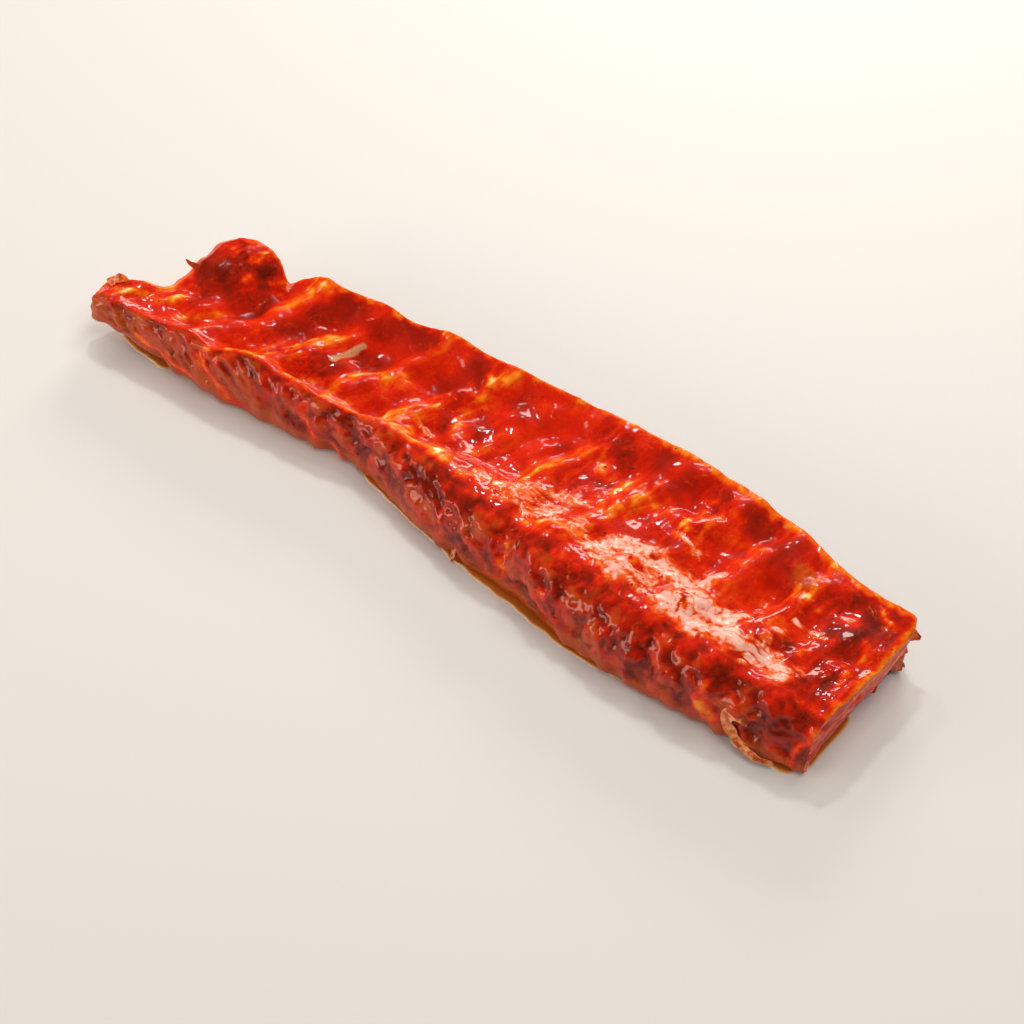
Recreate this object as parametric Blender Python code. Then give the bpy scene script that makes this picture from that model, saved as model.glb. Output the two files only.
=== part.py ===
"""A glazed rack of pork back ribs, bone side up, cut square at its right end.

The rack is one solid. X runs along the rack to the cut end, Y from the near meat face to the thin
far edge, Z up, with the origin under the middle of the rack on the surface that it lies on.
The bones lie in a shallow dish between the near ridge and the far rim, and lean along the rack.
All sizes below are millimetres.
"""
import math

import bmesh
import bpy
import numpy as np

MM = 0.001
# The middle of the rack's box in the plan below, which becomes the origin
CENTRE = (0.25, -1.45, 0.0)

# How finely the solid is cut into faces: columns along the rack, then rows round its section
COLUMNS = 134
FRONT_ROWS = 8
TOP_ROWS = 23
BACK_ROWS = 5
UNDER_ROWS = 4
END_ROWS = 3
ROW_CROWDING = 0.045

# Plan of the rack: where the near ridge, the near foot and the far rim run
NEAR_RIDGE = [(-172, -33.5), (-158, -33), (-140, -31.5), (-126, -28), (-112, -28.5), (-100, -24),
              (-80, -22.5), (-60, -21.5), (-38, -17.5), (0, -17.5), (20, -21), (45, -23), (90, -23),
              (135, -25), (172, -24)]
NEAR_FOOT = [(-168, -38), (-141, -35), (-118, -34.7), (-90, -32), (-64, -29.3), (-50, -26.5), (-30, -28),
             (-12, -33), (10, -36), (45, -37.5), (75, -42.4), (110, -42.4), (130, -40.5), (150, -37.5),
             (172, -35)]
FAR_RIM = [(-146, 20), (-138, 22.6), (-124, 22.5), (-115.5, 19), (-109, 23.4), (-101, 25.4), (-95, 24.8),
           (-78, 29), (-59, 29.6), (-49, 32.6), (-21, 34.8), (11, 37.6), (41, 39.6), (77, 41), (103, 39.4),
           (125, 36.6), (139, 32.8), (158, 31), (172, 32)]
# The ragged left end leans along the first bone: x as a function of y, from the low tip to the back corner
LEFT_END = [(-33, -172), (-27.5, -174.5), (-23.5, -172.5), (-21, -167.5), (-17.5, -160.5), (-11, -154),
            (-2, -152), (10, -152.5), (16.5, -151), (20, -147)]
CUT_END = [(-37, 168.5), (-22, 172.6), (0, 174), (18, 174.8), (28, 174.4), (33, 172)]

# Heights along the rack: the ridge, the rim, and how deep the dish lies between them
RIDGE_HEIGHT = [(-172, 22), (-158, 22.5), (-135, 23), (-105, 25), (-40, 24), (20, 25), (90, 26), (140, 25),
                (172, 24)]
RIM_HEIGHT = [(-172, 22), (-150, 25), (-135, 26), (-116, 22), (-104, 25.5), (-60, 25.5), (0, 26),
              (60, 26.5), (110, 26), (172, 23.5)]
DISH_DEPTH = [(-172, 1), (-150, 4), (-125, 7), (-85, 8.5), (-30, 8.5), (15, 7.5), (60, 6), (110, 5.5),
              (150, 4), (172, 1.5)]
NEAR_SHOULDER = [(-172, 5), (-120, 9), (-20, 9), (25, 20), (60, 27), (130, 27), (172, 20)]
FAR_SHOULDER = 15.0
TIP_LIFT = 8.0
TIP_LIFT_START = -112.0
TIP_LIFT_END = -170.0
TURN_UNDER = 3.0
FOOT_HEIGHT = 2.0
# How the near face rounds out from the ridge to the foot, and how far the far face draws in below
NEAR_FACE_REACH_POWER = 0.85
FACE_DROP_POWER = 0.8
FAR_FACE_DRAW_IN = 3.5
CUT_UNDERCUT = 2.5

# The bones: where each crosses the middle of the dish, and how high it stands
BONES = [(-112, 4.0), (-83, 3.0), (-54, 3.4), (-25, 3.0), (4, 2.4), (31, 3.0), (58, 3.6), (84, 3.4),
         (110, 2.8), (132, 2.6), (151, 2.2), (167, 1.2)]
BONE_HALF_WIDTH = 6.5
BONE_LEAN = [(-172, 25), (-20, 26), (40, 17), (110, 11), (172, 2)]

# Bulges of the near face between the bones, on the right half: x of each, and how far it stands out
SCALLOPS = [(20, 3.0), (57, 4.6), (91, 4.4), (122, 4.2), (152, 3.0)]
SCALLOP_HALF_LENGTH = 12.5
SCALLOP_DRAW_IN = 1.5
# Pillows of meat between the bones along the far rim: x, y, radius and height
PILLOWS = [(43, 31, 8, 2.6), (69, 30, 8, 2.6), (98, 27, 9, 2.8), (119, 24, 8, 2.0), (141, 22, 7, 1.4)]
# Single forms: the back hump, two lumps on it, the low tip, the knob of gristle and the lump below it
LUMPS = [(-134, 10, 13, 4.5), (-141, 2, 6, 1.6), (-127, 16, 6, 1.8), (-165, -27, 7, 2.4),
         (127, 21, 6.0, 3.4), (135, -6, 7, 2.0), (-30, -9, 6, 1.6), (-103, -4, 7, 1.4)]
# Pits: the crevice behind the first crest, its lower run, and the small hollow in the dish
PITS = [(-116, 15, 4.5, 6.0), (-121, 2, 7, 3.0), (23, 15, 4, 1.8), (-96, 6, 8, 1.6)]
# The curled membrane along the foot of the near face, by the cut end
CURL_FROM = 144.0
CURL_TO = 170.0
CURL_OUT = 2.6
CURL_MIDDLE = 2.0
CURL_SPREAD = 7.0

# The uneven surface: size and height of its swells and of its smaller crags, with fixed seeds
SWELL_SIZE = 24.0
SWELL_HEIGHT = 0.8
CRAG_SIZE = 12.0
CRAG_HEIGHT = 0.4
EDGE_RAGGEDNESS = 0.5
# The rounded top edges of the two ends: how far they drop, and over what length
LEFT_ROUNDING = (1.8, 5.0)
CUT_ROUNDING = (1.2, 2.5)
END_BULGE = 1.2

SAUCE_COLOUR = (0.52, 0.035, 0.012, 1.0)
SAUCE_ROUGHNESS = 0.28


def along(points, t):
    """A smooth curve through (t, value) points, by Catmull-Rom tangents, level beyond both ends."""
    knots, values = np.array(points, float).T
    slopes = np.gradient(values, knots)
    t = np.clip(np.asarray(t, float), knots[0], knots[-1])
    i = np.clip(np.searchsorted(knots, t, side="right") - 1, 0, len(knots) - 2)
    span = knots[i + 1] - knots[i]
    s = (t - knots[i]) / span
    return (values[i] * (1 + 2 * s) * (1 - s) ** 2 + values[i + 1] * s * s * (3 - 2 * s)
            + slopes[i] * span * s * (1 - s) ** 2 - slopes[i + 1] * span * s * s * (1 - s))


def rise(start, end, t):
    """From 0 at start to 1 at end, easing in and out."""
    s = np.clip((np.asarray(t, float) - start) / (end - start), 0, 1)
    return s * s * (3 - 2 * s)


def uneven(x, y, size, seed, waves=14):
    """A smooth uneven field of about unit height, whose lumps are about the given size."""
    rng = np.random.default_rng(seed)
    field = np.zeros(np.broadcast(x, y).shape)
    for _ in range(waves):
        turn = rng.uniform(0, 2 * math.pi)
        length = size * rng.uniform(0.75, 1.5)
        phase = rng.uniform(0, 2 * math.pi)
        field += np.sin(2 * math.pi * (x * math.cos(turn) + y * math.sin(turn)) / length + phase)
    return field / math.sqrt(waves / 2)


def column_ends(u):
    """Plan x of a column's near and far end, for u from 0 at the left end to 1 at the cut end."""
    left, right = LEFT_END[0][1], CUT_END[0][1]
    near = left + (right - left) * u
    return near, near + along(BONE_LEAN, near)


def plan_point(u, v):
    """Plan x and y of a point of the bone side: v runs from the near ridge, 0, to the far rim, 1."""
    near_x, far_x = column_ends(u)
    near_y, far_y = along(NEAR_RIDGE, near_x), along(FAR_RIM, far_x)
    x = near_x + (far_x - near_x) * v
    y = near_y + (far_y - near_y) * v
    left_x, right_x = column_ends(0.0)[0], column_ends(1.0)[0]
    left_line = left_x + (column_ends(0.0)[1] - left_x) * v
    right_line = right_x + (column_ends(1.0)[1] - right_x) * v
    x = x + (along(LEFT_END, y) - left_line) * np.exp(-((near_x - left_x) / 16.0) ** 1.3)
    x = x + (along(CUT_END, y) - right_line) * np.exp(-((right_x - near_x) / 30.0) ** 1.3)
    return x, y


def bone_ridges(u, v):
    """Height of the bones, which run along the columns and fade towards both long edges."""
    near_x, far_x = column_ends(u)
    middle = (near_x + far_x) / 2
    height = np.zeros(np.shape(middle + v))
    for place, size in BONES:
        sway = 1.5 * np.sin(v * 5 + place)
        height = height + size * np.exp(-((middle + sway - place) / BONE_HALF_WIDTH) ** 2)
    return height * (0.35 + 0.65 * rise(0.0, 0.12, v)) * (1 - 0.75 * rise(0.72, 0.98, v))


def bump_sum(forms, x, y):
    """Rounded bumps, each given by x, y, radius and height."""
    return sum(height * np.exp(-(((x - px) ** 2 + (y - py) ** 2) / radius ** 2))
               for px, py, radius, height in forms)


def scallop(x):
    """How far the near face bulges at x: full on a bulge, slightly drawn in between two."""
    out = sum(size * np.exp(-((x - place) / SCALLOP_HALF_LENGTH) ** 4) for place, size in SCALLOPS)
    return out - SCALLOP_DRAW_IN * rise(0, 40, x)


def top_height(u, v, x, y):
    """Height of the bone side."""
    ridge, rim = along(RIDGE_HEIGHT, x), along(RIM_HEIGHT, x)
    near_y, far_y = along(NEAR_RIDGE, x), along(FAR_RIM, x)
    from_ridge, from_rim = y - near_y, far_y - y
    dish = rise(-2, along(NEAR_SHOULDER, x), from_ridge) * rise(-2, FAR_SHOULDER, from_rim)
    height = ridge + (rim - ridge) * v - along(DISH_DEPTH, x) * dish
    height = height + bone_ridges(u, v)
    height = height + bump_sum(PILLOWS, x, y) + bump_sum(LUMPS, x, y) - bump_sum(PITS, x, y)
    height = height + 0.5 * scallop(x) * np.exp(-(from_ridge / 7.0) ** 2)
    fade = 0.4 + 0.6 * rise(0, 6, np.minimum(from_ridge, from_rim))
    height = height + fade * SWELL_HEIGHT * uneven(x, y, SWELL_SIZE, 3)
    height = height + fade * CRAG_HEIGHT * uneven(x, y, CRAG_SIZE, 5)
    from_left = column_ends(u)[0] - column_ends(0.0)[0]
    from_cut = column_ends(1.0)[0] - column_ends(u)[0]
    height = height - LEFT_ROUNDING[0] * (1 - rise(0.0, LEFT_ROUNDING[1], from_left)) ** 2
    return height - CUT_ROUNDING[0] * (1 - rise(0.0, CUT_ROUNDING[1], from_cut)) ** 2


def under_height(x):
    """Height of the underside, which leaves the surface towards the low tip."""
    return TIP_LIFT * rise(TIP_LIFT_START, TIP_LIFT_END, x) ** 1.4


def near_face(x, ridge_y, ridge_z):
    """Points of the near face at x, from the foot up to just below the ridge."""
    foot_y, low = float(along(NEAR_FOOT, x)), float(under_height(x)) + FOOT_HEIGHT
    points = []
    for row in range(FRONT_ROWS):
        turn = math.pi / 2 * (1 - row / FRONT_ROWS)
        reach = math.sin(turn) ** NEAR_FACE_REACH_POWER
        out = 0.6 * float(scallop(x)) * math.sin(2 * turn)
        crag = EDGE_RAGGEDNESS * float(uneven(x, row * 4.0, 10.0, 7)) * reach
        above_foot = (ridge_z - low) * math.cos(turn)
        curl = 0.0
        if CURL_FROM < x < CURL_TO:
            inside = math.sin(math.pi * (x - CURL_FROM) / (CURL_TO - CURL_FROM))
            curl = CURL_OUT * inside * math.exp(-(above_foot - CURL_MIDDLE) ** 2 / CURL_SPREAD)
        y = ridge_y + (foot_y - ridge_y) * reach - out - crag - curl
        points.append((x, y, low + (ridge_z - low) * math.cos(turn) ** FACE_DROP_POWER))
    return points


def far_face(x, rim_y, rim_z):
    """Points of the far face at x, from just below the rim down to its foot."""
    low = float(under_height(x)) + FOOT_HEIGHT
    points = []
    for row in range(1, BACK_ROWS + 1):
        turn = math.pi / 2 * row / BACK_ROWS
        crag = EDGE_RAGGEDNESS * float(uneven(x, row * 5.0, 11.0, 9)) * math.sin(turn)
        y = rim_y - FAR_FACE_DRAW_IN * math.sin(turn) ** 3 + crag
        points.append((x, y, low + (rim_z - low) * math.cos(turn) ** FACE_DROP_POWER))
    return points


def section(u):
    """One column's closed section: from the near foot over the top to the far foot, then back under."""
    v = np.linspace(0, 1, TOP_ROWS + 1)
    v = v - ROW_CROWDING * np.sin(2 * math.pi * v)
    x, y = plan_point(u, v)
    z = top_height(u, v, x, y)
    front = near_face(x[0], y[0], z[0])
    back = far_face(x[-1], y[-1], z[-1])
    near_under = front[0][1] + TURN_UNDER
    far_under = back[-1][1] - TURN_UNDER
    tuck = CUT_UNDERCUT * rise(6.0, 0.0, column_ends(1.0)[0] - column_ends(u)[0])
    under = []
    for row in range(UNDER_ROWS + 1):
        part = row / UNDER_ROWS
        under_x = x[-1] + (x[0] - x[-1]) * part - tuck
        under_y = far_under + (near_under - far_under) * part
        under.append((under_x, under_y, float(under_height(under_x))))
    return front + list(zip(x, y, z)) + back, under


def zip_strip(mesh, upper, lower):
    """Triangles between two open rows of vertices that have different counts."""
    i = j = 0
    while i < len(upper) - 1 or j < len(lower) - 1:
        next_upper = (i + 1) / (len(upper) - 1)
        next_lower = (j + 1) / (len(lower) - 1)
        if j == len(lower) - 1 or (i < len(upper) - 1 and next_upper <= next_lower):
            mesh.faces.new((upper[i], upper[i + 1], lower[j]))
            i += 1
        else:
            mesh.faces.new((upper[i], lower[j + 1], lower[j]))
            j += 1


def close_end(mesh, outer, under, sign):
    """Closes one end of the rack with a slightly rounded wall from its top edge down to the underside."""
    upper = outer
    count = len(outer)
    for row in range(1, END_ROWS + 1):
        part = row / (END_ROWS + 1)
        current = []
        for k, top in enumerate(outer):
            if k in (0, count - 1):
                current.append(top)
                continue
            share = k / (count - 1) * (len(under) - 1)
            i = min(int(share), len(under) - 2)
            base = under[i].co.lerp(under[i + 1].co, share - i)
            point = top.co.lerp(base, part)
            point.x += sign * END_BULGE * MM * math.sin(math.pi * part)
            current.append(mesh.verts.new(point))
        for k in range(count - 1):
            corners = [upper[k], upper[k + 1], current[k + 1], current[k]]
            unique = list(dict.fromkeys(corners))
            if len(unique) > 2:
                mesh.faces.new(unique)
        upper = current
    zip_strip(mesh, upper, under)


def build_rack():
    """The whole rack as one closed mesh: sections side by side, and a wall at each end."""
    mesh = bmesh.new()
    rings = []
    for column in range(COLUMNS + 1):
        outer, under = section(column / COLUMNS)
        rings.append([[mesh.verts.new([(c - middle) * MM for c, middle in zip(point, CENTRE)])
                       for point in row] for row in (outer, under)])
    for (outer_a, under_a), (outer_b, under_b) in zip(rings, rings[1:]):
        ring_a, ring_b = outer_a + under_a, outer_b + under_b
        for k in range(len(ring_a)):
            after = (k + 1) % len(ring_a)
            mesh.faces.new((ring_a[k], ring_a[after], ring_b[after], ring_b[k]))
    for (outer, under), sign in ((rings[0], -1), (rings[-1], 1)):
        close_end(mesh, outer, list(reversed(under)), sign)
    bmesh.ops.triangulate(mesh, faces=list(mesh.faces))
    bmesh.ops.recalc_face_normals(mesh, faces=list(mesh.faces))
    data = bpy.data.meshes.new("rack")
    mesh.to_mesh(data)
    mesh.free()
    data.shade_smooth()
    return bpy.data.objects.new("rack", data)


def sauce_material():
    """The deep red glaze that coats the whole rack."""
    material = bpy.data.materials.new("glazed_meat")
    material.use_nodes = True
    shader = material.node_tree.nodes["Principled BSDF"]
    shader.inputs["Base Color"].default_value = SAUCE_COLOUR
    shader.inputs["Roughness"].default_value = SAUCE_ROUGHNESS
    shader.inputs["Metallic"].default_value = 0.0
    return material


for old in list(bpy.data.objects):
    bpy.data.objects.remove(old)
rack = build_rack()
rack.data.materials.append(sauce_material())
bpy.context.scene.collection.objects.link(rack)
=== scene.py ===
"""The looks of a glazed rack of pork back ribs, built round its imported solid.

Lengths are millimetres in the rack's own plan, which to_metres() turns into the frame's metres:
x runs along the rack to the cut end, y from the near meat face to the thin far edge, z up.
"""

import math

import bpy
import numpy as np
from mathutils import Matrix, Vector


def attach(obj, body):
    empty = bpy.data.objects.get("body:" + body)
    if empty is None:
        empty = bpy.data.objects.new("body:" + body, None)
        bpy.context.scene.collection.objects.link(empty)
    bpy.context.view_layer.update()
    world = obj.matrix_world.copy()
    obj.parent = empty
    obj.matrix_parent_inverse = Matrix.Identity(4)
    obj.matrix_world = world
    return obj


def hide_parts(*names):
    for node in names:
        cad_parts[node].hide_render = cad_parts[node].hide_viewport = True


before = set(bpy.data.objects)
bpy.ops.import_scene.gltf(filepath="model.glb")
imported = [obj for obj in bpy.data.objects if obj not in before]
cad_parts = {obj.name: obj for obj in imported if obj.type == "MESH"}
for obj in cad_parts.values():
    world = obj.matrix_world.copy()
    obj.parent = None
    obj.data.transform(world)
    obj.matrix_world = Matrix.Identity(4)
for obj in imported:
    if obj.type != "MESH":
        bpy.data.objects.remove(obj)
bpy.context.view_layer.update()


# The rack. A slab of pork back ribs, bone side up: meat, fat and twelve bones under a thin skin, baked,
# then coated in a thick tomato glaze that has pooled between the bones. It is one mesh with the solid's
# form, laid as sections side by side, with the fine folds, grains and beads of glaze raised on it.
PLAN_MIDDLE = np.array([0.25, -1.45, 0.0])
COLUMNS = 600
FRONT_ROWS = 34
TOP_ROWS = 90
BACK_ROWS = 18
UNDER_ROWS = 4
CUT_WALL_ROWS = 34
LEFT_WALL_ROWS = 14
ROW_CROWDING = 0.045

NEAR_RIDGE = [(-172, -33.5), (-158, -33), (-140, -31.5), (-126, -28), (-112, -28.5), (-100, -24),
              (-80, -22.5), (-60, -21.5), (-38, -17.5), (0, -17.5), (20, -21), (45, -23), (90, -23),
              (135, -25), (172, -24)]
NEAR_FOOT = [(-168, -38), (-141, -35), (-118, -34.7), (-90, -32), (-64, -29.3), (-50, -26.5), (-30, -28),
             (-12, -33), (10, -36), (45, -37.5), (75, -42.4), (110, -42.4), (130, -40.5), (150, -37.5),
             (172, -35)]
FAR_RIM = [(-146, 20), (-138, 22.6), (-124, 22.5), (-115.5, 19), (-109, 23.4), (-101, 25.4), (-95, 24.8),
           (-78, 29), (-59, 29.6), (-49, 32.6), (-21, 34.8), (11, 37.6), (41, 39.6), (77, 41), (103, 39.4),
           (125, 36.6), (139, 32.8), (158, 31), (172, 32)]
LEFT_END = [(-33, -172), (-27.5, -174.5), (-23.5, -172.5), (-21, -167.5), (-17.5, -160.5), (-11, -154),
            (-2, -152), (10, -152.5), (16.5, -151), (20, -147)]
CUT_END = [(-37, 168.5), (-22, 172.6), (0, 174), (18, 174.8), (28, 174.4), (33, 172)]
RIDGE_HEIGHT = [(-172, 22), (-158, 22.5), (-135, 23), (-105, 25), (-40, 24), (20, 25), (90, 26), (140, 25),
                (172, 24)]
RIM_HEIGHT = [(-172, 22), (-150, 25), (-135, 26), (-116, 22), (-104, 25.5), (-60, 25.5), (0, 26),
              (60, 26.5), (110, 26), (172, 23.5)]
DISH_DEPTH = [(-172, 1), (-150, 4), (-125, 7), (-85, 8.5), (-30, 8.5), (15, 7.5), (60, 6), (110, 5.5),
              (150, 4), (172, 1.5)]
NEAR_SHOULDER = [(-172, 5), (-120, 9), (-20, 9), (25, 20), (60, 27), (130, 27), (172, 20)]
FAR_SHOULDER = 15.0
TIP_LIFT = 8.0
TIP_LIFT_START = -112.0
TIP_LIFT_END = -170.0
TIP_LIFT_POWER = 1.4
LEFT_REACH = 16.0
CUT_REACH = 30.0
REACH_POWER = 1.3
TURN_UNDER = 3.0
FOOT_HEIGHT = 2.0
NEAR_FACE_REACH_POWER = 0.85
FACE_DROP_POWER = 0.8
FAR_FACE_DRAW_IN = 3.5
CUT_UNDERCUT = 2.5
CUT_UNDERCUT_LENGTH = 6.0
BONES = [(-112, 4.0), (-83, 3.0), (-54, 3.4), (-25, 3.0), (4, 2.4), (31, 3.0), (58, 3.6), (84, 3.4),
         (110, 2.8), (132, 2.6), (151, 2.2), (167, 1.2)]
BONE_HALF_WIDTH = 6.5
BONE_SWAY = 1.5
BONE_AT_RIDGE = 0.35
BONE_LOST_AT_RIM = 0.75
BONE_LEAN = [(-172, 25), (-20, 26), (40, 17), (110, 11), (172, 2)]
SCALLOPS = [(20, 3.0), (57, 4.6), (91, 4.4), (122, 4.2), (152, 3.0)]
SCALLOP_HALF_LENGTH = 12.5
SCALLOP_DRAW_IN = 1.5
SCALLOP_ON_FACE = 0.6
SCALLOP_ON_RIDGE = 0.5
SCALLOP_RIDGE_WIDTH = 7.0
PILLOWS = [(43, 31, 8, 2.6), (69, 30, 8, 2.6), (98, 27, 9, 2.8), (119, 24, 8, 2.0), (141, 22, 7, 1.4)]
LUMPS = [(-134, 10, 13, 4.5), (-141, 2, 6, 1.6), (-127, 16, 6, 1.8), (-165, -27, 7, 2.4),
         (127, 21, 6.0, 3.4), (135, -6, 7, 2.0), (-30, -9, 6, 1.6), (-103, -4, 7, 1.4)]
PITS = [(-116, 15, 4.5, 6.0), (-121, 2, 7, 3.0), (23, 15, 4, 1.8), (-96, 6, 8, 1.6)]
CURL_FROM = 144.0
CURL_TO = 170.0
CURL_OUT = 2.6
CURL_MIDDLE = 2.0
CURL_SPREAD = 7.0
SWELL_SIZE = 24.0
SWELL_HEIGHT = 0.8
CRAG_SIZE = 12.0
CRAG_HEIGHT = 0.4
EDGE_WIDTH = 6.0
EDGE_SWELL = 0.4
EDGE_RAGGEDNESS = 0.5
FRONT_CRAG_SPAN = 32.0
FRONT_CRAG_SIZE = 10.0
BACK_CRAG_SPAN = 25.0
BACK_CRAG_SIZE = 11.0
SWELL_SEED, CRAG_SEED, FRONT_CRAG_SEED, BACK_CRAG_SEED = 3, 5, 7, 9
LEFT_ROUNDING = (1.8, 5.0)
CUT_ROUNDING = (1.2, 2.5)
END_BULGE = 1.2


def along(points, t):
    """A smooth curve through (t, value) points, by Catmull-Rom tangents, level beyond both ends."""
    knots, values = np.array(points, float).T
    slopes = np.gradient(values, knots)
    t = np.clip(np.asarray(t, float), knots[0], knots[-1])
    i = np.clip(np.searchsorted(knots, t, side="right") - 1, 0, len(knots) - 2)
    span = knots[i + 1] - knots[i]
    s = (t - knots[i]) / span
    return (values[i] * (1 + 2 * s) * (1 - s) ** 2 + values[i + 1] * s * s * (3 - 2 * s)
            + slopes[i] * span * s * (1 - s) ** 2 - slopes[i + 1] * span * s * s * (1 - s))


def rise(start, end, t):
    """From 0 at start to 1 at end, easing in and out."""
    s = np.clip((np.asarray(t, float) - start) / (end - start), 0, 1)
    return s * s * (3 - 2 * s)


def uneven(x, y, size, seed, waves=14):
    """The solid's own swells: a smooth uneven field of about unit height with lumps of the given size."""
    rng = np.random.default_rng(seed)
    field = np.zeros(np.broadcast(x, y).shape)
    for _ in range(waves):
        turn = rng.uniform(0, 2 * math.pi)
        length = size * rng.uniform(0.75, 1.5)
        phase = rng.uniform(0, 2 * math.pi)
        field += np.sin(2 * math.pi * (x * math.cos(turn) + y * math.sin(turn)) / length + phase)
    return field / math.sqrt(waves / 2)


def grain(points, size, seed):
    """Random relief from about -1 to 1 whose lumps are size mm across, a number or one for each axis."""
    rng = np.random.default_rng(seed)
    count = 1024
    order = rng.permutation(count)
    slopes = rng.normal(size=(count, 3))
    slopes /= np.linalg.norm(slopes, axis=1)[:, None]
    place = points / np.asarray(size, float)
    cell = np.floor(place).astype(int)
    inside = place - cell
    ease = inside ** 3 * (inside * (inside * 6 - 15) + 10)
    field = 0.0
    for corner in np.ndindex(2, 2, 2):
        index = 0
        for axis in range(3):
            index = order[(index + cell[..., axis] + corner[axis]) % count]
        weight = np.prod(np.where(np.array(corner, bool), ease, 1 - ease), axis=-1)
        field = field + weight * np.sum(slopes[index] * (inside - corner), axis=-1)
    return field * 1.9


def column_ends(u):
    """Plan x of a column's near and far end, for u from 0 at the left end to 1 at the cut end."""
    left, right = LEFT_END[0][1], CUT_END[0][1]
    near = left + (right - left) * u
    return near, near + along(BONE_LEAN, near)


def plan_point(u, v):
    """Plan x and y of a point of the bone side: v runs from the near ridge, 0, to the far rim, 1."""
    near_x, far_x = column_ends(u)
    near_y, far_y = along(NEAR_RIDGE, near_x), along(FAR_RIM, far_x)
    x = near_x + (far_x - near_x) * v
    y = near_y + (far_y - near_y) * v
    left_x, right_x = column_ends(0.0)[0], column_ends(1.0)[0]
    left_line = left_x + (column_ends(0.0)[1] - left_x) * v
    right_line = right_x + (column_ends(1.0)[1] - right_x) * v
    x = x + (along(LEFT_END, y) - left_line) * np.exp(-((near_x - left_x) / LEFT_REACH) ** REACH_POWER)
    x = x + (along(CUT_END, y) - right_line) * np.exp(-((right_x - near_x) / CUT_REACH) ** REACH_POWER)
    return x, y


def bone_ridges(u, v):
    """Height of the bones, which run along the columns and fade towards both long edges."""
    near_x, far_x = column_ends(u)
    middle = (near_x + far_x) / 2
    height = np.zeros(np.shape(middle + v))
    for place, size in BONES:
        sway = BONE_SWAY * np.sin(v * 5 + place)
        height = height + size * np.exp(-((middle + sway - place) / BONE_HALF_WIDTH) ** 2)
    at_ridge = BONE_AT_RIDGE + (1 - BONE_AT_RIDGE) * rise(0.0, 0.12, v)
    return height * at_ridge * (1 - BONE_LOST_AT_RIM * rise(0.72, 0.98, v))


def bump_sum(forms, x, y):
    """Rounded bumps, each given by x, y, radius and height."""
    return sum(height * np.exp(-(((x - px) ** 2 + (y - py) ** 2) / radius ** 2))
               for px, py, radius, height in forms)


def scallop(x):
    """How far the near face bulges at x: full on a bulge, slightly drawn in between two."""
    out = sum(size * np.exp(-((x - place) / SCALLOP_HALF_LENGTH) ** 4) for place, size in SCALLOPS)
    return out - SCALLOP_DRAW_IN * rise(0, 40, x)


def top_height(u, v, x, y):
    """Height of the bone side."""
    ridge, rim = along(RIDGE_HEIGHT, x), along(RIM_HEIGHT, x)
    near_y, far_y = along(NEAR_RIDGE, x), along(FAR_RIM, x)
    from_ridge, from_rim = y - near_y, far_y - y
    dish = rise(-2, along(NEAR_SHOULDER, x), from_ridge) * rise(-2, FAR_SHOULDER, from_rim)
    height = ridge + (rim - ridge) * v - along(DISH_DEPTH, x) * dish
    height = height + bone_ridges(u, v)
    height = height + bump_sum(PILLOWS, x, y) + bump_sum(LUMPS, x, y) - bump_sum(PITS, x, y)
    height = height + SCALLOP_ON_RIDGE * scallop(x) * np.exp(-(from_ridge / SCALLOP_RIDGE_WIDTH) ** 2)
    fade = EDGE_SWELL + (1 - EDGE_SWELL) * rise(0, EDGE_WIDTH, np.minimum(from_ridge, from_rim))
    height = height + fade * SWELL_HEIGHT * uneven(x, y, SWELL_SIZE, SWELL_SEED)
    height = height + fade * CRAG_HEIGHT * uneven(x, y, CRAG_SIZE, CRAG_SEED)
    from_left = column_ends(u)[0] - column_ends(0.0)[0]
    from_cut = column_ends(1.0)[0] - column_ends(u)[0]
    height = height - LEFT_ROUNDING[0] * (1 - rise(0.0, LEFT_ROUNDING[1], from_left)) ** 2
    return height - CUT_ROUNDING[0] * (1 - rise(0.0, CUT_ROUNDING[1], from_cut)) ** 2


def under_height(x):
    """Height of the underside, which leaves the surface towards the low tip."""
    return TIP_LIFT * rise(TIP_LIFT_START, TIP_LIFT_END, x) ** TIP_LIFT_POWER


def near_face(ridge, share):
    """Points of the near face below the ridge points, for each share of the way down to the foot."""
    x, ridge_y, ridge_z = (ridge[:, None, i] for i in range(3))
    low = under_height(x) + FOOT_HEIGHT
    turn = math.pi / 2 * share[None, :]
    reach = np.sin(turn) ** NEAR_FACE_REACH_POWER
    out = SCALLOP_ON_FACE * scallop(x) * np.sin(2 * turn)
    down = FRONT_CRAG_SPAN * (1 - share[None, :])
    crag = EDGE_RAGGEDNESS * uneven(x, down, FRONT_CRAG_SIZE, FRONT_CRAG_SEED) * reach
    inside = np.sin(math.pi * np.clip((x - CURL_FROM) / (CURL_TO - CURL_FROM), 0, 1))
    above_foot = (ridge_z - low) * np.cos(turn)
    curl = CURL_OUT * inside * np.exp(-(above_foot - CURL_MIDDLE) ** 2 / CURL_SPREAD)
    y = ridge_y + (along(NEAR_FOOT, x) - ridge_y) * reach - out - crag - curl
    z = low + (ridge_z - low) * np.clip(np.cos(turn), 0, 1) ** FACE_DROP_POWER
    return np.stack([x + 0 * z, y, z], axis=-1)


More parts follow.
